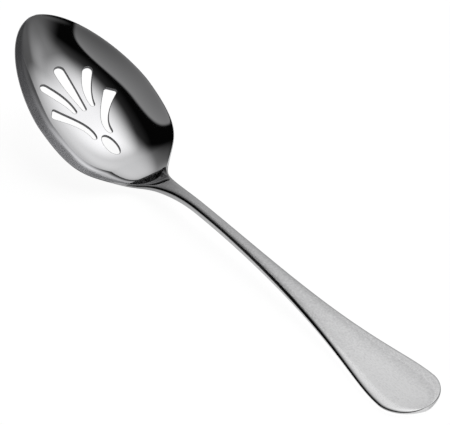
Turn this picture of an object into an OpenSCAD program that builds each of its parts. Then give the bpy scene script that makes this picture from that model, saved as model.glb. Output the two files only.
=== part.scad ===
// Slotted serving spoon, stamped from one sheet of stainless steel.
// The spoon lies on a table: X runs from the bowl's tip to the handle's end, Z is up,
// and it rests on the underside of the bowl and on the handle's end.

/* [Overall] */
// Length along the table, from the bowl's tip to the handle's end
spoon_l = 216; // [200:1:236]

/* [Bowl] */
// Length of the bowl along its rim, from the tip to the heel
bowl_l = 76.6; // [70:0.2:84]
// Width of the bowl across its rim
bowl_w = 47.4; // [42:0.2:54]
// Depth of the hollow below the rim
bowl_depth = 9.1; // [7:0.1:11]
// Wall of the bowl
bowl_wall = 1.2; // [1:0.1:1.8]
// Angle between the rim and the table, tip up
bowl_tilt = 25; // [20:0.5:28]
// Distance from the tip to the widest place, along the rim
bowl_widest = 42.2; // [38:0.2:46]

/* [Neck] */
// Width at the heel, where the bowl meets the neck
heel_w = 18; // [14:0.2:20]
// Length from the heel to the narrowest place, along the table
neck_l = 34; // [30:0.5:40]
// Width at the narrowest place
neck_w = 4.4; // [3.8:0.1:7]
// Thickness at the narrowest place
neck_t = 3.2; // [2.6:0.1:4.2]

/* [Handle] */
// Height of the arch above the table, at the middle of its thickness
arch_h = 7.2; // [6:0.1:12]
// Length from the heel to the top of the arch, along the table
arch_l = 29.6; // [26:0.2:36]
// Width of the handle's end
end_w = 22.7; // [18:0.1:28]
// Thickness of the handle's end
end_t = 2; // [1.6:0.1:2.8]
// Length of the rounded end, past its widest place
end_l = 9.9; // [7:0.1:14]

/* [Slots] */
// Width of the middle slot at its round tip
middle_slot_w = 4.1; // [3:0.1:4.6]
// Width of the inner pair of slots at the round tip
inner_slot_w = 3.6; // [2.8:0.1:4]
// Width of the outer pair of slots at the blunt end
outer_slot_w = 4.6; // [3.8:0.1:5.2]
// Radius of the blunt end's two corners
outer_slot_r = 0.9; // [0.6:0.1:1.2]
// Width of every slot where it starts
slot_root_w = 1.6; // [1.2:0.1:1.8]
// Length of the oval hole
oval_l = 9.5; // [8:0.1:10]
// Width of the oval hole
oval_w = 4.5; // [3.6:0.1:5.2]

/* [Hidden] */

// Outline of the tip half of the bowl, a superellipse: power along it and across it
tip_along_power = 1.61;
tip_across_power = 1.9;
// Outline of the handle's end, the same way
end_along_power = 1.8;
end_across_power = 1.955;
// Hollow of the bowl: how flat its floor is along and across
floor_along_power = 3;
floor_across_power = 2.6;
// Place before the heel where the hollow starts to run out, as a share of the way to the heel
run_out_share = 0.875;
// Place past the heel where it ends, as a share of the neck's length
run_end_share = 0.3;
// How fast the neck rises from the heel
rise_power = 1.8;
// Fullness of the section: a blunt rim on the bowl, flatter faces with soft edges on the handle
rim_power = 10;
bar_power = 4;
// Control points of the heel's curve, as shares of the way from the widest place to the heel
heel_curve_shares = [0.70, 0.70];
// Control points of the neck's curve, as shares of the neck's length
neck_curve_shares = [0.2, 0.67];
// Control points of the handle's flare, as shares of its length
flare_curve_shares = [0.73, 0.845];
// How far out the heel's curve aims before the neck, as a share of the bowl's half width
heel_out_share = 0.38;
// Softening of the bend at the heel, as a share of the neck's thickness
bend_share = 0.375;
// Length over which the bowl's wall starts to thicken before the heel, as a share of the neck's length
swell_share = 0.41;

// Slots as shares: places along the rim over bowl_l, places across over half the bowl's width.
// Each is root, control point, and the middle of the last round before the tip.
middle_slot_shares = [[0.498, 0], [0.388, 0], [0.276, 0]];
inner_slot_shares = [[0.493, 0.164], [0.414, 0.186], [0.333, 0.388]];
outer_slot_shares = [[0.658, 0.143], [0.578, 0.109], [0.476, 0.51]];
oval_place_share = 0.728;
// How late a blunt slot flares
flare_power = 5;
// Depth of every cut through the bowl
cut_over = bowl_wall;
cut_h = bowl_depth + 2 * bowl_wall + 2 * cut_over;

// Steps: half a section, the outline's four stretches and a slot
section_steps = 20;
tip_steps = 34;
heel_steps = 16;
neck_steps = 16;
flare_steps = 30;
end_steps = 14;
slot_steps = 10;
slot_sides = 24;
// Tries that settle the spoon on the table
settle_tries = 12;

// Places along the table, from the tip
heel_x = bowl_l * cos(bowl_tilt);
widest_x = bowl_widest * cos(bowl_tilt);
neck_x = heel_x + neck_l;
arch_x = heel_x + arch_l;
end_x = spoon_l - end_l;
bend_r = bend_share * neck_t;
run_out_x = run_out_share * heel_x;
run_end_x = heel_x + run_end_share * neck_l;
// Rounding of the tip's edge and of the handle's end, along the spoon
tip_round = bowl_wall / 10;
end_round = end_t / 8;

function bezier(p, t) = p[0] * pow(1 - t, 3) + 3 * p[1] * t * pow(1 - t, 2)
    + 3 * p[2] * t * t * (1 - t) + p[3] * pow(t, 3);
function clamp01(v) = min(max(v, 0), 1);
function smooth(v) = let (c = clamp01(v)) c * c * (3 - 2 * c);

// Outline seen from above: [place along the table, half width]
heel_span = heel_x - widest_x;
flare_span = end_x - neck_x;
heel_curve = [[widest_x, bowl_w / 2], [widest_x + heel_curve_shares[0] * heel_span, bowl_w / 2],
    [widest_x + heel_curve_shares[1] * heel_span, heel_w / 2 + heel_out_share * bowl_w / 2],
    [heel_x, heel_w / 2]];
heel_slope = (heel_curve[2][1] - heel_curve[3][1]) / (heel_x - heel_curve[2][0]);
neck_lead = neck_curve_shares[0] * neck_l;
neck_curve = [[heel_x, heel_w / 2],
    [heel_x + neck_lead, max(heel_w / 2 - heel_slope * neck_lead, neck_w / 2)],
    [heel_x + neck_curve_shares[1] * neck_l, neck_w / 2], [neck_x, neck_w / 2]];
flare_curve = [[neck_x, neck_w / 2], [neck_x + flare_curve_shares[0] * flare_span, neck_w / 2],
    [neck_x + flare_curve_shares[1] * flare_span, end_w / 2], [end_x, end_w / 2]];

tip_outline = [for (i = [1 : tip_steps]) let (a = 90 * i / tip_steps)
    [widest_x * (1 - pow(max(cos(a), 0), 2 / tip_along_power)),
     bowl_w / 2 * pow(sin(a), 2 / tip_across_power)]];
heel_outline = [for (i = [1 : heel_steps]) bezier(heel_curve, i / heel_steps)];
neck_outline = [for (i = [0 : neck_steps]) bezier(neck_curve, i / neck_steps)];
flare_outline = [for (i = [1 : flare_steps]) bezier(flare_curve, i / flare_steps)];
end_outline = [for (i = [1 : end_steps - 1]) let (a = 90 * i / end_steps)
    [end_x + end_l * pow(sin(a), 2 / end_along_power), end_w / 2 * pow(cos(a), 2 / end_across_power)]];
bowl_outline = concat(tip_outline, heel_outline);
handle_outline = concat(neck_outline, flare_outline, end_outline);

// Depth of the hollow and thickness of the metal, by place along the table
function floor_line(x) = bowl_depth * (1 - pow(abs(2 * x / heel_x - 1), floor_along_power));
function floor_fall(x) = bowl_depth * floor_along_power
    * pow(abs(2 * x / heel_x - 1), floor_along_power - 1) * 2 / heel_x;
run_power = floor_fall(run_out_x) * (run_end_x - run_out_x) / floor_line(run_out_x);
function hollow(x) = x >= run_end_x ? 0 : x <= run_out_x ? floor_line(x)
    : floor_line(run_out_x) * pow((run_end_x - x) / (run_end_x - run_out_x), run_power);
function swell(x) = smooth((x - heel_x) / neck_l + swell_share);
function taper(x) = smooth((x - neck_x) / (spoon_l - neck_x));
function round_off(d, r) = d >= r ? 1 : sqrt(max(1 - pow(1 - max(d, 0) / r, 2), 0));
function metal(x) = (bowl_wall + (neck_t - bowl_wall) * swell(x) + (end_t - neck_t) * taper(x))
    * round_off(x, tip_round) * round_off(spoon_l - x, end_round);
function fullness(x) = rim_power + (bar_power - rim_power) * swell(x);

// Spine for a rim that meets the heel at height h: a straight fall that bends into the arch
function rim_line(x, h) = h + (heel_x - x) * tan(bowl_tilt);
function arch_line(x, h) = x > arch_x
    ? arch_h + (end_t / 2 - arch_h) * smooth((x - arch_x) / (spoon_l - arch_x))
    : h + (arch_h - h) * (1 - pow((arch_x - x) / arch_l, rise_power));
function spine_at(x, h) = let (a = rim_line(x, h), b = arch_line(x, h))
    (a + b) / 2 + sqrt(pow((a - b) / 2, 2) + bend_r * bend_r);
function angle_at(x, h) = let (d = end_t / 4)
    atan((spine_at(x + d, h) - spine_at(x - d, h)) / (2 * d));

// Height of the rim at the heel, settled until the underside just meets the table
function lowest(h) = min([for (p = concat(bowl_outline, neck_outline))
    spine_at(p[0], h) - (hollow(p[0]) + metal(p[0]) / 2) * cos(angle_at(p[0], h))]);
function settle(h, tries) = tries == 0 ? h : settle(h - lowest(h), tries - 1);
heel_h = settle(bowl_wall, settle_tries);
tip_h = heel_h + heel_x * tan(bowl_tilt);
function spine(x) = spine_at(x, heel_h);
function spine_angle(x) = angle_at(x, heel_h);

// One section, square to the spine: the underside from -Y to +Y, then the top back again
function section(x, half_w) = let (
    lean = spine_angle(x), sag = hollow(x), t = metal(x), n = fullness(x), z0 = spine(x),
    count = 2 * section_steps)
    [for (j = [0 : count - 1]) let (
        u = -cos(180 * j / section_steps),
        side = j < section_steps ? -1 : 1,
        h = side * t / 2 * pow(max(1 - pow(abs(u), n), 0), 1 / n),
        rise = sag * floor_across_power * pow(abs(u), floor_across_power - 1) * sign(u) / half_w,
        q = sqrt(1 + rise * rise),
        y = u * half_w - h * rise / q,
        v = h / q - sag * (1 - pow(abs(u), floor_across_power)))
        [x - v * sin(lean), y, z0 + v * cos(lean)]];

// Skin over a row of sections; a tip closes to one point at the start or at the end
module skin(outline, start_point, end_point) {
    rows = [for (p = outline) section(p[0], p[1])];
    m = 2 * section_steps;
    last = len(rows) - 1;
    points = concat([for (r = rows) each r], [start_point], [end_point]);
    start_id = m * (last + 1);
    end_id = start_id + 1;
    sides = [for (i = [0 : last - 1], j = [0 : m - 1]) let (
        a = i * m + j, b = i * m + (j + 1) % m) each [[a, a + m, b + m], [a, b + m, b]]];
    start_cap = [for (j = [0 : m - 1]) [start_id, j, (j + 1) % m]];
    end_cap = [for (j = [0 : m - 1]) [last * m + j, end_id, last * m + (j + 1) % m]];
    polyhedron(points = points, faces = concat(sides, start_cap, end_cap), convexity = 6);
}

// Middle of the face where the bowl and the handle meet
heel_point = [heel_x, 0, spine(heel_x)];

// A slot widens from its root to its tip along a bent line, in the plane of the rim.
// Each step joins two rounds side by side; they fall together where the slot has its corner's width.
// A slot with a round tip swells early; one with a blunt tip does too and flares again at the end.
module slot(shares, tip_w, corner_r, side) {
    size = [bowl_l, side * bowl_w / 2];
    path = [for (p = shares) [p[0] * size[0], p[1] * size[1]]];
    function at(t) = path[0] * pow(1 - t, 2) + 2 * path[1] * t * (1 - t) + path[2] * t * t;
    function way(t) = (path[1] - path[0]) * (1 - t) + (path[2] - path[1]) * t;
    blunt = corner_r < tip_w / 2;
    function growth(t) = blunt ? (sqrt(t) + pow(t, flare_power)) / 2 : sin(90 * t);
    function wide(t) = slot_root_w + (tip_w - slot_root_w) * growth(t);
    function round_r(t) = min(corner_r, wide(t) / 2);
    linear_extrude(height = cut_h)
        for (i = [0 : slot_steps - 1])
            hull()
                for (t = [i / slot_steps, (i + 1) / slot_steps], half = [-1, 1])
                    let (d = way(t) / norm(way(t)), off = half * (wide(t) / 2 - round_r(t)))
                        translate(at(t) + off * [-d[1], d[0]])
                            circle(r = round_r(t), $fn = slot_sides);
}

module slots() {
    translate([0, 0, tip_h]) rotate([0, bowl_tilt, 0])
        translate([0, 0, -bowl_depth - bowl_wall - cut_over]) {
            slot(middle_slot_shares, middle_slot_w, middle_slot_w / 2, 1);
            for (side = [-1, 1]) {
                slot(inner_slot_shares, inner_slot_w, inner_slot_w / 2, side);
                slot(outer_slot_shares, outer_slot_w, outer_slot_r, side);
            }
            translate([oval_place_share * bowl_l, 0, 0]) linear_extrude(height = cut_h)
                scale([1, oval_w / oval_l]) circle(d = oval_l, $fn = 2 * slot_sides);
        }
}

// The bowl: a thin dish with a blunt rim, pierced through
module bowl() {
    color("silver") translate([-spoon_l / 2, 0, 0]) difference() {
        skin(bowl_outline, [0, 0, spine(0)], heel_point);
        slots();
    }
}

// The handle: neck, stem and broad round end in one bar
module handle() {
    color("gainsboro") translate([-spoon_l / 2, 0, 0])
        skin(handle_outline, heel_point, [spoon_l, 0, spine(spoon_l)]);
}

bowl();
handle();
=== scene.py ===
import bpy
import numpy as np
from mathutils import Matrix
from mathutils.geometry import delaunay_2d_cdt


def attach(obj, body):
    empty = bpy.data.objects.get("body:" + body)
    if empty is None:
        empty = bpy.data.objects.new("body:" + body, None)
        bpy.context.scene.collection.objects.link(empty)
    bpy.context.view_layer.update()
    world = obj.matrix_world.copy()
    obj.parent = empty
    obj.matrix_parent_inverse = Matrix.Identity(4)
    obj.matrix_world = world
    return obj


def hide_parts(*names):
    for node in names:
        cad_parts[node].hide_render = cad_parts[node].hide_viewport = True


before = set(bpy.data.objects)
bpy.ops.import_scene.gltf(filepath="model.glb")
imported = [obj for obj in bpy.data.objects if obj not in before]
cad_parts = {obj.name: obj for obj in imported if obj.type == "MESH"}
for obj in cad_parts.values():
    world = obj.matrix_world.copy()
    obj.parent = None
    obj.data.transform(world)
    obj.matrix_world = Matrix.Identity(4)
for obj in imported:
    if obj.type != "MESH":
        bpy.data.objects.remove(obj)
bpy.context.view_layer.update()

# Sizes of the stamping in millimetres, with x from the bowl's tip to the handle's end, and the tilt
# in degrees. Powers, curves, fullness, swell, run out and run end are plain numbers or shares.
spoonLook = {
    "length": 216.0, "bowlLength": 76.6, "bowlWidth": 47.4, "bowlDepth": 9.1, "wall": 1.2,
    "tilt": 25.0, "widest": 42.2, "heelWidth": 18.0, "neckLength": 34.0, "neckWidth": 4.4,
    "neckThick": 3.2, "archHeight": 7.2, "archLength": 29.6, "endWidth": 22.7, "endThick": 2.0,
    "endLength": 9.9, "tipPowers": (1.61, 1.9), "endPowers": (1.8, 1.955),
    "floorPowers": (3.0, 2.6), "runOut": 0.875, "runEnd": 0.3, "risePower": 1.8, "fullness": (3.0, 2.5),
    "heelCurve": (0.70, 0.70), "neckCurve": (0.2, 0.67), "flareCurve": (0.73, 0.845),
    "heelOut": 0.38, "bend": 0.375, "swell": 0.41, "tipRound": 0.3, "endRound": 0.25,
    "endDish": 0.32, "dishPower": 4.0,
}
# Rows along the tip, heel, neck, flare and end, and steps across a face and round an edge. Degrees
# where the edge's steps begin and of the sine across the face. Short steps for the normals: a share
# of a row, and millimetres round the ring and on a sheet.
meshLook = {
    "rows": (112, 60, 60, 110, 48), "flatColumns": 128, "edgeColumns": 9, "edgeFrom": 60, "sineTo": 75,
    "rowStep": 0.05, "ringStep": 0.004, "sheetStep": 0.02,
}
tilt = np.radians(spoonLook["tilt"])
heelX = spoonLook["bowlLength"] * np.cos(tilt)
widestX = spoonLook["widest"] * np.cos(tilt)
neckX = heelX + spoonLook["neckLength"]
archX = heelX + spoonLook["archLength"]
endX = spoonLook["length"] - spoonLook["endLength"]
runOutX = spoonLook["runOut"] * heelX
runEndX = heelX + spoonLook["runEnd"] * spoonLook["neckLength"]


# 0 to 1 with level ends: three times the square less twice the cube
def smooth(v):
    c = np.clip(v, 0, 1)
    return c * c * (3 - 2 * c)


# cubic curve through the first and last of four points, aimed at the middle two
def bezier(p, t):
    p = np.array(p, float)
    t = np.asarray(t, float)[:, None]
    return p[0] * (1 - t) ** 3 + 3 * p[1] * t * (1 - t) ** 2 + 3 * p[2] * t * t * (1 - t) + p[3] * t ** 3


# Half of the outline from above, as x and half width at any row number: a superellipse round the
# tip, three cubic curves for heel, neck and flare, and a superellipse round the handle's end.
def outlineAt(row):
    L = spoonLook
    w, hw, nw, ew = L["bowlWidth"] / 2, L["heelWidth"] / 2, L["neckWidth"] / 2, L["endWidth"] / 2
    starts = np.concatenate([[0], np.cumsum(meshLook["rows"])])
    share = [np.clip((row - a) / (b - a), 0, 1) for a, b in zip(starts[:-1], starts[1:])]
    a, b = share[0] * np.pi / 2, share[4] * np.pi / 2
    tip = np.stack([widestX * (1 - np.clip(np.cos(a), 0, 1) ** (2 / L["tipPowers"][0])),
                    w * np.sin(a) ** (2 / L["tipPowers"][1])], -1)
    span = heelX - widestX
    heel = [[widestX, w], [widestX + L["heelCurve"][0] * span, w],
            [widestX + L["heelCurve"][1] * span, hw + L["heelOut"] * w], [heelX, hw]]
    slope = (heel[2][1] - heel[3][1]) / (heelX - heel[2][0])
    lead = L["neckCurve"][0] * L["neckLength"]
    neck = [[heelX, hw], [heelX + lead, max(hw - slope * lead, nw)],
            [heelX + L["neckCurve"][1] * L["neckLength"], nw], [neckX, nw]]
    run = endX - neckX
    flare = [[neckX, nw], [neckX + L["flareCurve"][0] * run, nw],
             [neckX + L["flareCurve"][1] * run, ew], [endX, ew]]
    end = np.stack([endX + L["endLength"] * np.sin(b) ** (2 / L["endPowers"][0]),
                    ew * np.clip(np.cos(b), 0, 1) ** (2 / L["endPowers"][1])], -1)
    curves = [tip, bezier(heel, share[1]), bezier(neck, share[2]), bezier(flare, share[3]), end]
    which = np.clip(np.searchsorted(starts, row, side="left") - 1, 0, 4)
    return np.stack(curves)[which, np.arange(len(row))]


rowTotal = sum(meshLook["rows"])
fineOutline = outlineAt(np.linspace(0, rowTotal, 8 * rowTotal + 1))


# half width at any x, read off the finely stepped outline
def halfWidth(x):
    return np.interp(x, fineOutline[:, 0], fineOutline[:, 1])


# Depth below the rim: deep and flat in the middle, 1 minus the cube of the way from the middle.
# Near the heel it keeps its slope and runs out into the neck by a power of the way left.
def hollow(x):
    deep, power = spoonLook["bowlDepth"], spoonLook["floorPowers"][0]
    place = abs(2 * runOutX / heelX - 1)
    left = deep * (1 - place ** power)
    fall = deep * power * place ** (power - 1) * 2 / heelX
    share = np.clip((runEndX - x) / (runEndX - runOutX), 0, 1)
    tail = left * share ** (fall * (runEndX - runOutX) / left)
    return np.where(x <= runOutX, deep * (1 - np.abs(2 * x / heelX - 1) ** power), tail)


# 0 where the metal is as thin as the bowl's wall and 1 where it is as thick as the neck
def swell(x):
    return smooth((x - heelX) / spoonLook["neckLength"] + spoonLook["swell"])


# 0 up to the neck's end and 1 at the handle's end
def taper(x):
    return smooth((x - neckX) / (spoonLook["length"] - neckX))


# quarter circle that closes the metal at both ends
def roundOff(d, r):
    return np.sqrt(np.clip(1 - np.clip(1 - d / r, 0, 1) ** 2, 0, 1))


# Thickness: the wall's, plus the growth to the neck's by swell, less the fall to the end's by taper,
# times the closing at both ends
def metal(x):
    L = spoonLook
    thick = L["wall"] + (L["neckThick"] - L["wall"]) * swell(x) + (L["endThick"] - L["neckThick"]) * taper(x)
    return thick * roundOff(x, L["tipRound"]) * roundOff(L["length"] - x, L["endRound"])


# power of the section's superellipse: the rim's, falling to the end's by taper
def fullness(x):
    rim, end = spoonLook["fullness"]
    return rim + (end - rim) * taper(x)


# Height of the section's middle for a rim that meets the heel at a given height: the rim's falling
# line and the handle's arch, joined as half their sum plus a rounded half difference.
def spineFrom(x, heelHeight):
    L = spoonLook
    rim = heelHeight + (heelX - x) * np.tan(tilt)
    way = np.clip((archX - x) / L["archLength"], 0, None)
    rise = heelHeight + (L["archHeight"] - heelHeight) * (1 - way ** L["risePower"])
    fall = smooth((x - archX) / (L["length"] - archX))
    arch = np.where(x > archX, L["archHeight"] + (L["endThick"] / 2 - L["archHeight"]) * fall, rise)
    r = L["bend"] * L["neckThick"]
    return (rim + arch) / 2 + np.sqrt(((rim - arch) / 2) ** 2 + r * r)


# angle of the spine's slope over a short step
def leanFrom(x, heelHeight):
    d = spoonLook["endThick"] / 4
    return np.arctan((spineFrom(x + d, heelHeight) - spineFrom(x - d, heelHeight)) / (2 * d))


# The heel's height is settled until the underside just meets the table.
def settledHeel(tries=12):
    x = fineOutline[(fineOutline[:, 0] > 1) & (fineOutline[:, 0] < neckX), 0]
    height = spoonLook["wall"]
    for _ in range(tries):
        under = (hollow(x) + metal(x) / 2) * np.cos(leanFrom(x, height))
        height -= np.min(spineFrom(x, height) - under)
    return height


heelHeight = settledHeel()


# height of the section's middle, on the settled heel
def spine(x):
    return spineFrom(np.asarray(x, float), heelHeight)


# A point of the section at x: u times the half width across, h off the middle sheet, whose sag is
# the hollow times 1 minus the cross power of u, and the section square to the spine.
def sectionPoints(x, w, u, h):
    sag, power = hollow(x), spoonLook["floorPowers"][1]
    rise = sag * power * np.abs(u) ** (power - 1) * np.sign(u) / np.maximum(w, 1e-6)
    q = np.sqrt(1 + rise * rise)
    v = h / q - sag * (1 - np.abs(u) ** power)
    turn = leanFrom(x, heelHeight)
    return np.stack([x - v * np.sin(turn), u * w - h * rise / q, spine(x) + v * np.cos(turn)], -1)


# How far the top face sinks inside its rolled border: nothing at the neck, most at the broad end
def dished(x, u, share):
    sunk = spoonLook["endDish"] * taper(x) * (1 - np.abs(u) ** spoonLook["dishPower"])
    return sunk * roundOff(spoonLook["length"] - x, spoonLook["endLength"]) * np.clip(share, 0, 1)


# Places round a section, under side then top side, as u and the share of the half thickness: steps
# over the flat part that shorten by a sine towards the rims, where the metal is steep, and equal
# angles of the superellipse round both edges.
def ringOf(n):
    flat, edge = meshLook["flatColumns"], meshLook["edgeColumns"]
    n = n[:, None]
    turn = np.radians(np.linspace(meshLook["edgeFrom"], 90, edge + 1))[1:][None]
    outer = np.sin(turn) ** (2 / n)
    thin = np.clip(np.cos(turn), 0, 1) ** (2 / n)
    to = meshLook["sineTo"]
    middle = np.sin(np.radians(np.linspace(-to, to, flat + 1)))[None] / np.sin(np.radians(to))
    middle = middle * np.sin(np.radians(meshLook["edgeFrom"])) ** (2 / n)
    u = np.concatenate([-outer[:, ::-1], middle, outer], 1)
    share = np.concatenate([thin[:, ::-1], np.clip(1 - np.abs(middle) ** n, 0, 1) ** (1 / n), thin], 1)
    share[:, [0, -1]] = 0
    return np.concatenate([u[:, :-1], u[:, :0:-1]], 1), np.concatenate([-share[:, :-1], share[:, :0:-1]], 1)


# The skin of the whole stamping as rows by places round the section. The normal is the cross
# product of a short step round the superellipse and a short step from row to row.
def wholeSkin():
    row = np.arange(1, rowTotal, dtype=float)

    def rowsAt(shift, u, share):
        line = outlineAt(row + shift)
        x, w = line[:, :1] + 0 * u, line[:, 1:] + 0 * u
        return sectionPoints(x, w, u, share * metal(x) / 2 - dished(x, u, share))

    line = outlineAt(row)
    x, w = line[:, :1], line[:, 1:]
    n, thick = fullness(x), metal(x)
    u, share = ringOf(n[:, 0])
    points = rowsAt(0, u, share)
    along = rowsAt(meshLook["rowStep"], u, share) - rowsAt(-meshLook["rowStep"], u, share)
    du = np.abs(share) ** (n - 1) * np.sign(share)
    ds = -np.abs(u) ** (n - 1) * np.sign(u)
    step = meshLook["ringStep"] / np.maximum(np.sqrt((du * w) ** 2 + (ds * thick / 2) ** 2), 1e-9)
    around = rowsAt(0, u + du * step, share + ds * step) - rowsAt(0, u - du * step, share - ds * step)
    normal = np.cross(along, around)
    normal /= np.maximum(np.linalg.norm(normal, axis=2, keepdims=True), 1e-12)
    return line[:, 0], u, points, normal


rowX, ringU, skinPoints, skinNormals = wholeSkin()
ringCount = ringU.shape[1]
heelRow = int(np.argmin(np.abs(rowX - heelX)))
print("skin", skinPoints.shape, "heel row", heelRow, round(float(rowX[heelRow]), 3))

# the pierced fan: middle lines and the oval's place as shares of the bowl's length and half width,
# widths, corners and the edge's bend in millimetres
slotLook = {
    "middle": {"line": ((0.498, 0), (0.388, 0), (0.276, 0)), "width": 4.1, "corner": 2.05, "sides": (1,)},
    "inner": {"line": ((0.493, 0.164), (0.414, 0.186), (0.333, 0.388)), "width": 3.6, "corner": 1.8,
              "sides": (1, -1)},
    "outer": {"line": ((0.658, 0.143), (0.578, 0.109), (0.476, 0.51)), "width": 4.6, "corner": 0.9,
              "sides": (1, -1)},
    "rootWidth": 1.6, "flarePower": 5, "ovalAt": 0.728, "ovalLength": 9.5, "ovalWidth": 4.5,
    "edgeRound": 0.22, "stepsAlong": 56, "cornerSteps": 12, "rootSteps": 16, "ovalSteps": 200,
    "loopStep": 0.24,
}


# Closed line round a slot: a bent middle line, a round root, and a tip with two rounded corners.
# The width grows by a quarter sine to a round tip. To a blunt tip it grows by half a square root,
# and by half a high power that flares the end.
def slotContour(look, side):
    p = np.array(look["line"], float) * [spoonLook["bowlLength"], side * spoonLook["bowlWidth"] / 2]
    t = np.linspace(0, 1, slotLook["stepsAlong"])[:, None]
    line = p[0] * (1 - t) ** 2 + 2 * p[1] * t * (1 - t) + p[2] * t * t
    way = (p[1] - p[0]) * (1 - t) + (p[2] - p[1]) * t
    way /= np.linalg.norm(way, axis=1, keepdims=True)
    left = np.c_[-way[:, 1], way[:, 0]]
    blunt = look["corner"] < look["width"] / 2
    grown = (np.sqrt(t) + t ** slotLook["flarePower"]) / 2 if blunt else np.sin(np.pi / 2 * t)
    half = (slotLook["rootWidth"] + (look["width"] - slotLook["rootWidth"]) * grown) / 2
    r, end = look["corner"], slice(-1, None)
    a = np.linspace(0, np.pi / 2, slotLook["cornerSteps"])[:, None]
    c1 = line[end] + (half[end] - r) * left[end] + r * (np.sin(a) * way[end] + np.cos(a) * left[end])
    c2 = line[end] - (half[end] - r) * left[end] + r * (np.cos(a) * way[end] - np.sin(a) * left[end])
    b = np.linspace(-np.pi / 2, np.pi / 2, slotLook["rootSteps"])[1:-1][:, None]
    root = line[0] - half[0] * (np.cos(b) * way[0] - np.sin(b) * left[0])
    return np.concatenate([(line + half * left)[:-1], c1, c2, (line - half * left)[:-1][::-1], root])


# The same closed line with points at even steps of its length, counted anticlockwise, and the
# outward direction at each from its neighbours.
def evenLoop(loop, step):
    closed = np.concatenate([loop, loop[:1]])
    keep = np.concatenate([[True], np.linalg.norm(np.diff(closed, axis=0), axis=1) > 1e-6])
    closed = closed[keep]
    run = np.concatenate([[0], np.cumsum(np.linalg.norm(np.diff(closed, axis=0), axis=1))])
    at = np.linspace(0, run[-1], int(round(run[-1] / step)) + 1)[:-1]
    even = np.c_[np.interp(at, run, closed[:, 0]), np.interp(at, run, closed[:, 1])]
    nxt = np.roll(even, -1, 0)
    if np.sum(even[:, 0] * nxt[:, 1] - even[:, 1] * nxt[:, 0]) < 0:
        even = even[::-1]
    way = np.roll(even, -1, 0) - np.roll(even, 1, 0)
    way /= np.linalg.norm(way, axis=1, keepdims=True)
    return even, np.c_[way[:, 1], -way[:, 0]]


# all five slots and the oval, an ellipse, as evenly stepped closed lines
def allLoops():
    L = slotLook
    loops = [slotContour(L[k], side) for k in ("middle", "inner", "outer") for side in L[k]["sides"]]
    a = np.linspace(0, 2 * np.pi, L["ovalSteps"])[:-1]
    loops.append(np.c_[L["ovalAt"] * spoonLook["bowlLength"] + L["ovalLength"] / 2 * np.cos(a),
                       L["ovalWidth"] / 2 * np.sin(a)])
    return [evenLoop(p, L["loopStep"]) for p in loops]


# even and odd crossings of a ray, for all the points at once
def insideLoop(points, loop):
    a, b = loop[None], np.roll(loop, -1, 0)[None]
    px, py = points[:, :1], points[:, 1:]
    span = np.where(np.abs(b[..., 1] - a[..., 1]) < 1e-12, 1e-12, b[..., 1] - a[..., 1])
    straddles = (a[..., 1] > py) != (b[..., 1] > py)
    ahead = px < (b[..., 0] - a[..., 0]) * (py - a[..., 1]) / span + a[..., 0]
    return np.sum(straddles & ahead, 1) % 2 == 1


# The point of the top sheet (side 1) or under sheet (-1) over a place along the rim and across:
# u is found by repeating u = (across + h rise / q) / half width.
def sheetPoint(plan, side, tries=6):
    x = plan[:, 0] * np.cos(tilt)
    w, sag, power = halfWidth(x), hollow(x), spoonLook["floorPowers"][1]
    half = metal(x) / 2
    u = plan[:, 1] / w
    for _ in range(tries):
        h = side * half * np.clip(1 - np.abs(u) ** fullness(x), 0, 1) ** (1 / fullness(x))
        rise = sag * power * np.abs(u) ** (power - 1) * np.sign(u) / w
        u = (plan[:, 1] + h * rise / np.sqrt(1 + rise * rise)) / w
    return sectionPoints(x, w, u, h)


# outward normal of a sheet: the cross product of short steps along and across it
def sheetNormal(plan, side):
    d = meshLook["sheetStep"]
    along = sheetPoint(plan + [d, 0], side) - sheetPoint(plan - [d, 0], side)
    across = sheetPoint(plan + [0, d], side) - sheetPoint(plan - [0, d], side)
    n = np.cross(along, across) * side
    return n / np.linalg.norm(n, axis=1, keepdims=True)


# A mesh object in metres from points in millimetres, its faces as lists of ids, the wanted normal
# of every point (zero where Blender's own is right), point attributes and a UV map.
def makeMesh(name, points, faces, normals, attributes, uv):
    mesh = bpy.data.meshes.new(name)
    place = (points - [spoonLook["length"] / 2, 0, 0]) * 0.001
    mesh.from_pydata(place, [], faces)
    mesh.polygons.foreach_set("use_smooth", np.ones(len(mesh.polygons), bool))
    for key, values in attributes.items():
        mesh.attributes.new(key, "FLOAT", "POINT").data.foreach_set("value", values.astype(np.float32))
    corner = np.zeros(len(mesh.loops), np.int32)
    mesh.loops.foreach_get("vertex_index", corner)
    layer = mesh.uv_layers.new(name="alongSpoon")
    layer.data.foreach_set("uv", uv[corner].astype(np.float32).ravel())
    mesh.validate()
    mesh.update()
    mesh.normals_split_custom_set_from_vertices(normals.tolist())
    piece = bpy.data.objects.new(name, mesh)
    bpy.context.scene.collection.objects.link(piece)
    return piece


# quads between rows that each close round a ring of points, less the skipped ones
def gridFaces(rows, ring, skip=None):
    i, j = np.meshgrid(np.arange(rows - 1), np.arange(ring), indexing="ij")
    k = (j + 1) % ring
    quads = np.stack([i * ring + j, i * ring + k, (i + 1) * ring + k, (i + 1) * ring + j], -1)
    return quads[~skip] if skip is not None else quads.reshape(-1, 4)


# Where the polish ends: x in the middle of the neck, how far back it ends at the edges, how sharply
# it bends there, and the width of the soft line. The edge begins at a share of the way across,
# raised to the section's power, and is full a softness further on. The map's scale is per millimetre.
surfaceLook = {"polishEnd": 80.4, "polishBack": 15.0, "polishPower": 7.0, "polishSoft": 0.8,
               "edgeFrom": 0.25, "edgeSoft": 0.35, "mapAcross": 0.02, "mapAlong": 0.004}


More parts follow.
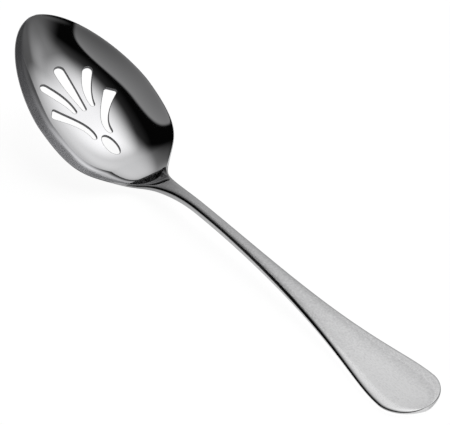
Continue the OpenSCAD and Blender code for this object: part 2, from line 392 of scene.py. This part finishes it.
# 1 on the satin metal and 0 on the polished hollow, which runs up the neck and ends bluntly there:
# its end lies at polishEnd less polishBack times a power of the way across.
def satinShare(x, u):
    end = surfaceLook["polishEnd"] - surfaceLook["polishBack"] * np.abs(u) ** surfaceLook["polishPower"]
    return smooth((x - end) / surfaceLook["polishSoft"] + 0.5)


# 1 on the wall round the edge and 0 on the faces, from how steep the section is there
def edgeShare(x, u):
    n = fullness(x)
    return smooth((np.abs(u) ** n - surfaceLook["edgeFrom"]) / surfaceLook["edgeSoft"])


# the stretch of the bowl that is meshed round the fan: from and to along the rim in millimetres,
# across as a share of the half width, the gap kept clear round each slot's edge, and steps of a bend
windowLook = {"from": 16.5, "to": 62.6, "across": 0.68, "clear": 0.2, "bends": 5, "joined": 1e-7}


# The dish: the skin's rows up to the heel, with a window cut out of both sheets where the fan is.
# The window is filled by a triangulation round the slots, and each slot gets a wall whose two
# edges are quarter bends from the sheet to the cut.
def bowlShell():
    ring, rows = ringCount, heelRow + 1
    half = ring // 2
    flat = skinPoints[:rows].reshape(-1, 3)
    x = np.repeat(rowX[:rows], ring)
    parts = [(flat, skinNormals[:rows].reshape(-1, 3), x, ringU[:rows].reshape(-1), np.zeros(len(flat)))]

    # adds points with their normals, places along and across and cut share, and gives their ids
    def add(points, normals, x, u, cut):
        first = sum(len(p[0]) for p in parts)
        count = len(points)
        parts.append((points, np.broadcast_to(normals, (count, 3)), np.broadcast_to(x, count),
                      np.full(count, float(u)), np.full(count, float(cut))))
        return first + np.arange(count)

    i0 = int(np.searchsorted(rowX, windowLook["from"] * np.cos(tilt)))
    i1 = int(np.searchsorted(rowX, windowLook["to"] * np.cos(tilt)))
    columns = np.abs(ringU[i0]) < windowLook["across"]
    j0, j1 = int(np.argmax(columns[:half])), half - 1 - int(np.argmax(columns[:half][::-1]))
    skip = np.zeros((rows - 1, ring), bool)
    skip[i0:i1, j0:j1] = True
    skip[i0:i1, ring - j1:ring - j0] = True
    faces = gridFaces(rows, ring, skip).tolist()
    loops = allLoops()
    edgeRound = slotLook["edgeRound"]
    loopIds = {}
    for side in (1, -1):
        js = np.arange(ring - j1, ring - j0 + 1) if side > 0 else np.arange(j0, j1 + 1)
        ids = np.arange(i0, i1 + 1)[:, None] * ring + js[None]
        plan = np.stack([x[ids] / np.cos(tilt), flat[ids][..., 1]], -1).reshape(-1, 2)
        inner = np.ones(ids.shape, bool)
        inner[[0, -1], :] = False
        inner[:, [0, -1]] = False
        keep = np.ones(ids.size, bool)
        for loop, out in loops:
            keep &= ~(insideLoop(plan, loop + out * (edgeRound + windowLook["clear"])) & inner.ravel())
        place = -np.ones(ids.size, int)
        place[keep] = np.arange(keep.sum())
        place = place.reshape(ids.shape)
        border = np.concatenate([place[0, :-1], place[:-1, -1], place[-1, :0:-1], place[:0:-1, 0]])
        edges, plans, start = [np.stack([border, np.roll(border, -1)], 1)], [plan[keep]], int(keep.sum())
        for loop, out in loops:
            own = start + np.arange(len(loop))
            plans.append(loop + out * edgeRound)
            edges.append(np.stack([own, np.roll(own, -1)], 1))
            start += len(loop)
        plans = np.concatenate(plans)
        made = delaunay_2d_cdt(plans.tolist(), np.concatenate(edges).tolist(), [], 1, windowLook["joined"])
        tris = np.array([list(f) for f in made[2]])
        middle = plans[tris].mean(1)
        gone = np.zeros(len(tris), bool)
        for loop, out in loops:
            gone |= insideLoop(middle, loop + out * edgeRound)
        tris = tris[~gone]
        turned = np.cross(plans[tris[:, 1]] - plans[tris[:, 0]], plans[tris[:, 2]] - plans[tris[:, 0]]) < 0
        tris[turned] = tris[turned][:, ::-1]
        fresh = plans[keep.sum():]
        freshIds = add(sheetPoint(fresh, side), sheetNormal(fresh, side), fresh[:, 0] * np.cos(tilt), 0, 0)
        tris = np.concatenate([ids.ravel()[keep], freshIds])[tris]
        faces += (tris if side > 0 else tris[:, ::-1]).tolist()
        starts = np.cumsum([0] + [len(loop) for loop, _ in loops])
        for k in range(len(loops)):
            loopIds[k, side] = freshIds[starts[k]:starts[k + 1]]
    upward = np.array([np.sin(tilt), 0, np.cos(tilt)])
    s = np.linspace(0, 1, windowLook["bends"] + 1)[1:][:, None, None]
    for k, (loop, out) in enumerate(loops):
        along = loop[:, 0] * np.cos(tilt)
        top, topEdge = sheetPoint(loop + out * edgeRound, 1), sheetPoint(loop, 1)
        low, lowEdge = sheetPoint(loop + out * edgeRound, -1), sheetPoint(loop, -1)
        topWall, lowWall = topEdge - upward * edgeRound, lowEdge + upward * edgeRound
        upper = top * (1 - s) ** 2 + 2 * topEdge * s * (1 - s) + topWall * s * s
        lower = (low * (1 - s) ** 2 + 2 * lowEdge * s * (1 - s) + lowWall * s * s)[::-1]
        walls = [(row, cut) for row, cut in zip(upper, np.linspace(0, 1, len(upper) + 1)[1:])]
        walls += [(topWall * 0.5 + lowWall * 0.5, 1.0)]
        walls += [(row, cut) for row, cut in zip(lower, np.linspace(1, 0, len(lower) + 1)[:-1])]
        ids = [loopIds[k, 1]] + [add(row, (0, 0, 0), along, 0, cut) for row, cut in walls] + [loopIds[k, -1]]
        ids = np.stack(ids)
        nxt = np.roll(ids, -1, 1)
        faces += np.stack([ids[1:], nxt[1:], nxt[:-1], ids[:-1]], -1).reshape(-1, 4).tolist()
    tipId = add(np.array([[0, 0, spine(0)]]), (0, 0, 0), 0, 1, 0)[0]
    capIds = add(skinPoints[rows - 1], (1, 0, 0), heelX, 0, 0)
    middleId = add(np.array([[heelX, 0, spine(heelX)]]), (1, 0, 0), heelX, 0, 0)[0]
    j = np.arange(ring)
    faces += np.stack([j, np.full(ring, tipId), (j + 1) % ring], 1).tolist()
    faces += np.stack([capIds, capIds[(j + 1) % ring], np.full(ring, middleId)], 1).tolist()
    return [np.concatenate(values) for values in zip(*parts)], faces


# Neck, stem and broad end: the skin's rows from the heel on, closed at the end's point
def handleBar():
    ring = ringCount
    rows = len(rowX) - heelRow
    end = spoonLook["length"]
    tipId = rows * ring
    capIds = tipId + 1 + np.arange(ring)
    j = np.arange(ring)
    last = (rows - 1) * ring
    faces = gridFaces(rows, ring).tolist()
    faces += np.stack([last + j, last + (j + 1) % ring, np.full(ring, tipId)], 1).tolist()
    faces += np.stack([capIds, np.full(ring, capIds[-1] + 1), capIds[(j + 1) % ring]], 1).tolist()
    points = np.concatenate([skinPoints[heelRow:].reshape(-1, 3), [[end, 0, spine(end)]],
                             skinPoints[heelRow], [[heelX, 0, spine(heelX)]]])
    normals = np.concatenate([skinNormals[heelRow:].reshape(-1, 3), [[0, 0, 0]],
                              np.tile([[-1.0, 0, 0]], (ring + 1, 1))])
    x = np.concatenate([np.repeat(rowX[heelRow:], ring), [end], np.full(ring + 1, heelX)])
    u = np.concatenate([ringU[heelRow:].reshape(-1), [1], np.zeros(ring + 1)])
    return [points, normals, x, u, np.zeros(len(points))], faces


# Makes the object, adds the attributes that the steel reads, hangs it on the root body and hides its CAD
# node
def dress(name, made, node):
    (points, normals, x, u, cut), faces = made
    shares = {"satinShare": satinShare(x, u), "edgeShare": edgeShare(x, u) * (1 - cut), "cutShare": cut,
              "acrossShare": u}
    uv = np.c_[points[:, 1] * surfaceLook["mapAcross"] + 0.5, points[:, 0] * surfaceLook["mapAlong"]]
    piece = makeMesh(name, points, faces, normals, shares, uv)
    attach(piece, "root")
    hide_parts(node)
    print(name, len(piece.data.vertices), "points", len(piece.data.polygons), "faces")
    return piece


bowlPiece = dress("bowlShell", bowlShell(), "bowl")
handlePiece = dress("handleBar", handleBar(), "handle")


# Short ways to add and wire nodes in one material or world
class NodeBench:
    def __init__(self, owner):
        owner.use_nodes = True
        self.tree = owner.node_tree
        self.tree.nodes.clear()

    def put(self, kind, **settings):
        node = self.tree.nodes.new(kind)
        for key, value in settings.items():
            setattr(node, key, value)
        return node

    def wire(self, source, target):
        self.tree.links.new(source, target)

    def feed(self, socket, value):
        if isinstance(value, bpy.types.NodeSocket):
            self.wire(value, socket)
        else:
            socket.default_value = value

    def math(self, operation, a, b=0.0, c=0.0, clamp=False):
        node = self.put("ShaderNodeMath", operation=operation, use_clamp=clamp)
        for socket, value in zip(node.inputs, (a, b, c)):
            self.feed(socket, value)
        return node.outputs[0]

    def ramp(self, value, low, high, toLow=0.0, toHigh=1.0):
        node = self.put("ShaderNodeMapRange", interpolation_type="SMOOTHSTEP")
        for socket, v in zip(node.inputs[:5], (value, low, high, toLow, toHigh)):
            self.feed(socket, v)
        return node.outputs[0]

    def noise(self, place, scale, detail):
        node = self.put("ShaderNodeTexNoise")
        node.inputs["Scale"].default_value = scale
        node.inputs["Detail"].default_value = detail
        self.wire(place, node.inputs["Vector"])
        return self.math("SUBTRACT", node.outputs["Fac"], 0.5)

    def share(self, name):
        return self.put("ShaderNodeAttribute", attribute_name=name).outputs["Fac"]


# Colours, roughness, the scale and detail of each noise, and what each noise adds to the roughness
# or the bump. The near band of painted shade lies between two places across, as shares of the half
# width. The handle's painted shade fades between two places along, in metres.
steelLook = {
    "mirrorColour": (0.66, 0.66, 0.67, 1), "satinColour": (0.78, 0.78, 0.785, 1),
    # The first is painted shade on the sheared faces and the near band, the second painted shade on the
    # handle.
    "paintedShadeColour": (0.30, 0.30, 0.31, 1), "handleShadeColour": (0.48, 0.48, 0.485, 1),
    "mirrorRough": 0.05, "edgeRough": 0.1, "satinRough": 0.4, "cutRough": 0.34,
    "smearScale": 60.0, "smearDetail": 3.0, "lineScale": 4.0, "lineDetail": 4.0,
    "lineStretch": (60.0, 1000.0, 1000.0), "grainScale": 1500.0, "grainDetail": 2.0,
    "mirrorSmear": 0.04, "satinSmear": 0.06, "satinLines": 0.16,
    "mirrorBump": 0.02, "satinBump": 0.9, "grainBump": 0.8, "bumpStrength": 0.35, "bumpDistance": 0.00012,
    # painted shade in a rougher band along the near rim
    "bandFrom": -0.69, "bandTo": -0.86, "bandRough": 0.2, "bandPaintedShade": 1.1,
    # painted shade on the handle, darker at the neck and on the far side, flecked by grain
    "handleShadeFrom": -0.02, "handleShadeTo": 0.1, "handleShadeAcross": 0.7, "handleShadeGrain": 1.1,
}


# Polished steel that turns to satin by satinShare and to a sheared face by cutShare. Roughness
# wanders with broad smears. The bump holds fine polishing lines or, on the satin, a grain. The other
# colour is painted shade: on the sheared faces and in a rougher band along the near rim. On the
# handle it is painted shade too: full at the neck, fading towards the end, with some on the far
# side, and flecked by the grain.
def steelFinish(name, colour, shadeColour, paintedHandleShade):
    look = steelLook
    material = bpy.data.materials.new(name)
    bench = NodeBench(material)
    shader = bench.put("ShaderNodeBsdfPrincipled")
    shader.inputs["Metallic"].default_value = 1.0
    bench.wire(shader.outputs[0], bench.put("ShaderNodeOutputMaterial").inputs[0])
    place = bench.put("ShaderNodeTexCoord").outputs["Object"]
    satin, edge, cut = (bench.share(key) for key in ("satinShare", "edgeShare", "cutShare"))
    stretch = bench.put("ShaderNodeMapping")
    stretch.inputs["Scale"].default_value = look["lineStretch"]
    bench.wire(place, stretch.inputs["Vector"])
    smear = bench.noise(place, look["smearScale"], look["smearDetail"])
    lines = bench.noise(stretch.outputs[0], look["lineScale"], look["lineDetail"])
    grain = bench.noise(place, look["grainScale"], look["grainDetail"])
    across = bench.share("acrossShare")
    # the near rim's band of painted shade, on the polished steel only
    band = bench.ramp(across, look["bandTo"], look["bandFrom"], 1.0, 0.0)
    band = bench.math("MULTIPLY", band, bench.math("SUBTRACT", 1.0, satin))
    # share of painted shade: the near band and the sheared faces
    other = bench.math("MULTIPLY_ADD", band, look["bandPaintedShade"], cut, clamp=True)
    # on the handle the share of painted shade instead: full at the neck, less towards the end, more on the
    # far side, flecked by grain
    if paintedHandleShade:
        split = bench.put("ShaderNodeSeparateXYZ")
        bench.wire(place, split.inputs[0])
        shadeFadeAlong = bench.ramp(split.outputs["X"], look["handleShadeFrom"], look["handleShadeTo"])
        farSideShade = bench.ramp(across, 0.0, 1.0, 0.0, look["handleShadeAcross"])
        handleShade = bench.math("MULTIPLY_ADD", grain, look["handleShadeGrain"], bench.math("SUBTRACT", farSideShade, shadeFadeAlong))
        other = bench.math("ADD", handleShade, 1.0, clamp=True)
    blend = bench.put("ShaderNodeMix", data_type="RGBA")
    bench.wire(other, blend.inputs[0])
    blend.inputs[6].default_value = colour
    blend.inputs[7].default_value = shadeColour
    bench.wire(blend.outputs[2], shader.inputs["Base Color"])
    polished = bench.math("MULTIPLY_ADD", smear, look["mirrorSmear"], look["mirrorRough"])
    polished = bench.math("MULTIPLY_ADD", band, look["bandRough"], polished)
    brushed = bench.math("MULTIPLY_ADD", smear, look["satinSmear"], look["satinRough"])
    brushed = bench.math("MULTIPLY_ADD", lines, look["satinLines"], brushed)
    rubbed = bench.math("MULTIPLY", edge, satin)
    face = bench.math("SUBTRACT", satin, rubbed)
    rough = bench.math("MULTIPLY_ADD", bench.math("SUBTRACT", brushed, polished), face, polished)
    rough = bench.math("MULTIPLY_ADD", rubbed, look["edgeRough"] - look["mirrorRough"], rough)
    rough = bench.math("MULTIPLY_ADD", cut, look["cutRough"] - look["mirrorRough"], rough, clamp=True)
    bench.wire(rough, shader.inputs["Roughness"])
    fine = bench.math("MULTIPLY_ADD", face, look["satinBump"], look["mirrorBump"])
    fine = bench.math("MULTIPLY", lines, fine)
    height = bench.math("MULTIPLY_ADD", grain, bench.math("MULTIPLY", face, look["grainBump"]), fine)
    bump = bench.put("ShaderNodeBump")
    bump.inputs["Strength"].default_value = look["bumpStrength"]
    bump.inputs["Distance"].default_value = look["bumpDistance"]
    bench.wire(height, bump.inputs["Height"])
    bench.wire(bump.outputs[0], shader.inputs["Normal"])
    return material


mirrorSteel = steelFinish("mirrorSteel", steelLook["mirrorColour"], steelLook["paintedShadeColour"], False)
satinSteel = steelFinish("satinSteel", steelLook["satinColour"], steelLook["handleShadeColour"], True)
bowlPiece.data.materials.append(mirrorSteel)
handlePiece.data.materials.append(satinSteel)
print("finishes ready")

# The studio seen by the steel: rounded soft panels at endless distance. Each has the heading and
# height of its middle in degrees, half sizes as tangents, the softness of its edge as a share of
# them, the squareness of its outline, its brightness, how much that grows to the left and upwards,
# and the turn of its frame. Spoon's own axes: heading 0 is +X, the handle, and 90 is the far side.
# The base is the dark between them, and graze the least cosine that a panel's tangents divide by.
studioLook = {
    "base": 0.002, "graze": 0.02,
    "panels": [
        {"name": "overheadSoftbox", "heading": 80, "height": 65, "wide": 0.35, "tall": 0.3, "soft": 0.95,
         "square": 4, "level": 0.8, "leftward": 0.5, "upward": 0.6, "turn": -30},
        {"name": "overheadGlow", "heading": 95, "height": 55, "wide": 0.95, "tall": 0.5, "soft": 0.45,
         "square": 2, "level": 0.33, "leftward": 0.8, "upward": 0, "turn": -10},
        {"name": "leftSoftbox", "heading": 145, "height": 25, "wide": 1.25, "tall": 0.65, "soft": 0.45,
         "square": 2.5, "level": 0.45, "leftward": -0.2, "upward": -0.65, "turn": -30},
        {"name": "rightWash", "heading": 5, "height": 20, "wide": 1.25, "tall": 0.25, "soft": 0.95,
         "square": 5, "level": 0.11, "leftward": 0.9, "upward": 0, "turn": 30},
        {"name": "rightFill", "heading": -15, "height": 4, "wide": 1.1, "tall": 0.3, "soft": 0.6,
         "square": 3, "level": 0.5, "leftward": 0, "upward": 0, "turn": 0},
        {"name": "frontBoard", "heading": -90, "height": 25, "wide": 0.75, "tall": 0.75, "soft": 0.07,
         "square": 4, "level": 0.07, "leftward": -0.3, "upward": 3.5, "turn": -10},
        {"name": "farWash", "heading": 85, "height": 50, "wide": 0.75, "tall": 1.35, "soft": 0.95,
         "square": 5, "level": 0.1, "leftward": -0.3, "upward": -0.9, "turn": -10},
    ],
}


# Camera rays meet plain white, and all other rays meet the panels. A ray's two tangents from a
# panel's middle, over its half sizes, join by the squareness to one reach, which is 1 at its edge.
def studioWorld():
    world = bpy.data.worlds.new("studioWorld")
    bpy.context.scene.world = world
    bench = NodeBench(world)
    way = bench.put("ShaderNodeTexCoord").outputs["Generated"]

    def along(direction):
        node = bench.put("ShaderNodeVectorMath", operation="DOT_PRODUCT")
        bench.wire(way, node.inputs[0])
        node.inputs[1].default_value = direction
        return node.outputs["Value"]

    total = studioLook["base"]
    for panel in studioLook["panels"]:
        a, e = np.radians(panel["heading"]), np.radians(panel["height"])
        middle = (np.cos(e) * np.cos(a), np.cos(e) * np.sin(a), np.sin(e))
        sideways = np.array([-np.sin(a), np.cos(a), 0])
        upward = np.cross(middle, sideways)
        turn = np.radians(panel["turn"])
        sideways, upward = (sideways * np.cos(turn) + upward * np.sin(turn),
                            upward * np.cos(turn) - sideways * np.sin(turn))
        depth = bench.math("MAXIMUM", along(middle), studioLook["graze"])
        across = bench.math("DIVIDE", bench.math("DIVIDE", along(sideways), depth), panel["wide"])
        aloft = bench.math("DIVIDE", bench.math("DIVIDE", along(upward), depth), panel["tall"])
        powers = [bench.math("POWER", bench.math("ABSOLUTE", v), panel["square"]) for v in (across, aloft)]
        reach = bench.math("POWER", bench.math("ADD", *powers), 1 / panel["square"])
        mask = bench.ramp(reach, 1 - panel["soft"], 1 + panel["soft"], panel["level"], 0.0)
        fade = bench.math("MULTIPLY_ADD", across, panel["leftward"], 1.0)
        fade = bench.math("MAXIMUM", bench.math("MULTIPLY_ADD", aloft, panel["upward"], fade), 0.0)
        total = bench.math("MULTIPLY_ADD", mask, fade, total)
    rays = bench.put("ShaderNodeLightPath")
    plain = bench.math("SUBTRACT", 1.0, total)
    seen = bench.math("MULTIPLY_ADD", plain, rays.outputs["Is Camera Ray"], total)
    glow = bench.put("ShaderNodeBackground")
    bench.wire(seen, glow.inputs["Strength"])
    glow.inputs["Color"].default_value = (1, 1, 1, 1)
    bench.wire(glow.outputs[0], bench.put("ShaderNodeOutputWorld").inputs["Surface"])


studioWorld()

# half size and places along in metres, the lift of the white, and its shares seen in the steel, lowest under
# the bowl as painted shade
floorLook = {"half": 1.6, "colour": (0.3, 0.3, 0.3, 1), "lift": 0.915,
             "underBowl": 0.3, "underHandle": 0.8, "from": -0.055, "to": -0.01}


# A plain plate under the spoon. Its white is lifted for the camera, so that only a soft share of the
# shadow is left. The steel mirrors less of that white, least under the bowl: painted shade on the floor,
# seen only in the steel.
def makeFloor():
    h = floorLook["half"]
    mesh = bpy.data.meshes.new("floorPlate")
    mesh.from_pydata([(-h, -h, 0), (h, -h, 0), (h, h, 0), (-h, h, 0)], [], [(0, 1, 2, 3)])
    floor = bpy.data.objects.new("floorPlate", mesh)
    bpy.context.scene.collection.objects.link(floor)
    material = bpy.data.materials.new("floorWhite")
    bench = NodeBench(material)
    rays = bench.put("ShaderNodeLightPath")
    split = bench.put("ShaderNodeSeparateXYZ")
    bench.wire(bench.put("ShaderNodeTexCoord").outputs["Object"], split.inputs[0])
    # painted shade: the white mirrored in the steel is darkest under the bowl
    mirrored = bench.ramp(split.outputs["X"], floorLook["from"], floorLook["to"],
                          floorLook["underBowl"], floorLook["underHandle"])
    seen = bench.math("MULTIPLY_ADD", rays.outputs["Is Glossy Ray"], mirrored, rays.outputs["Is Camera Ray"])
    matte = bench.put("ShaderNodeBsdfDiffuse")
    matte.inputs["Color"].default_value = floorLook["colour"]
    glow = bench.put("ShaderNodeEmission")
    glow.inputs["Color"].default_value = (1, 1, 1, 1)
    bench.wire(bench.math("MULTIPLY", seen, floorLook["lift"]), glow.inputs["Strength"])
    both = bench.put("ShaderNodeAddShader")
    bench.wire(matte.outputs[0], both.inputs[0])
    bench.wire(glow.outputs[0], both.inputs[1])
    bench.wire(both.outputs[0], bench.put("ShaderNodeOutputMaterial").inputs["Surface"])
    mesh.materials.append(material)


makeFloor()

# the fitted view: place in metres, turns in degrees, and the focal length in pixels of a picture
# 450 wide, for a sensor in millimetres
cameraLook = {"place": (0.433881, -0.324767, 0.429597), "heading": 52.789, "down": 37.720,
              "roll": -0.377, "focal": 2044.488, "wide": 450, "sensor": 36, "near": 0.01, "far": 20}


# turned by the heading, then tipped down, then rolled about its own view line
def makeCamera():
    data = bpy.data.cameras.new("photoCamera")
    data.sensor_fit, data.sensor_width = "HORIZONTAL", cameraLook["sensor"]
    data.lens = cameraLook["focal"] / cameraLook["wide"] * cameraLook["sensor"]
    data.clip_start, data.clip_end = cameraLook["near"], cameraLook["far"]
    camera = bpy.data.objects.new("photoCamera", data)
    bpy.context.scene.collection.objects.link(camera)
    a, e, r = (np.radians(cameraLook[k]) for k in ("heading", "down", "roll"))
    right, ahead = np.array([np.cos(a), np.sin(a), 0]), np.array([-np.sin(a), np.cos(a), 0])
    view = np.cos(e) * ahead - np.sin(e) * np.array([0, 0, 1])
    up = np.sin(e) * ahead + np.cos(e) * np.array([0, 0, 1])
    side = right * np.cos(r) + up * np.sin(r)
    top = -right * np.sin(r) + up * np.cos(r)
    turn = np.eye(4)
    turn[:3, 0], turn[:3, 1], turn[:3, 2], turn[:3, 3] = side, top, -view, cameraLook["place"]
    camera.matrix_world = Matrix(turn.tolist())
    bpy.context.scene.camera = camera


makeCamera()
bpy.context.scene.view_settings.view_transform = "Standard"
print("studio, floor and camera ready")
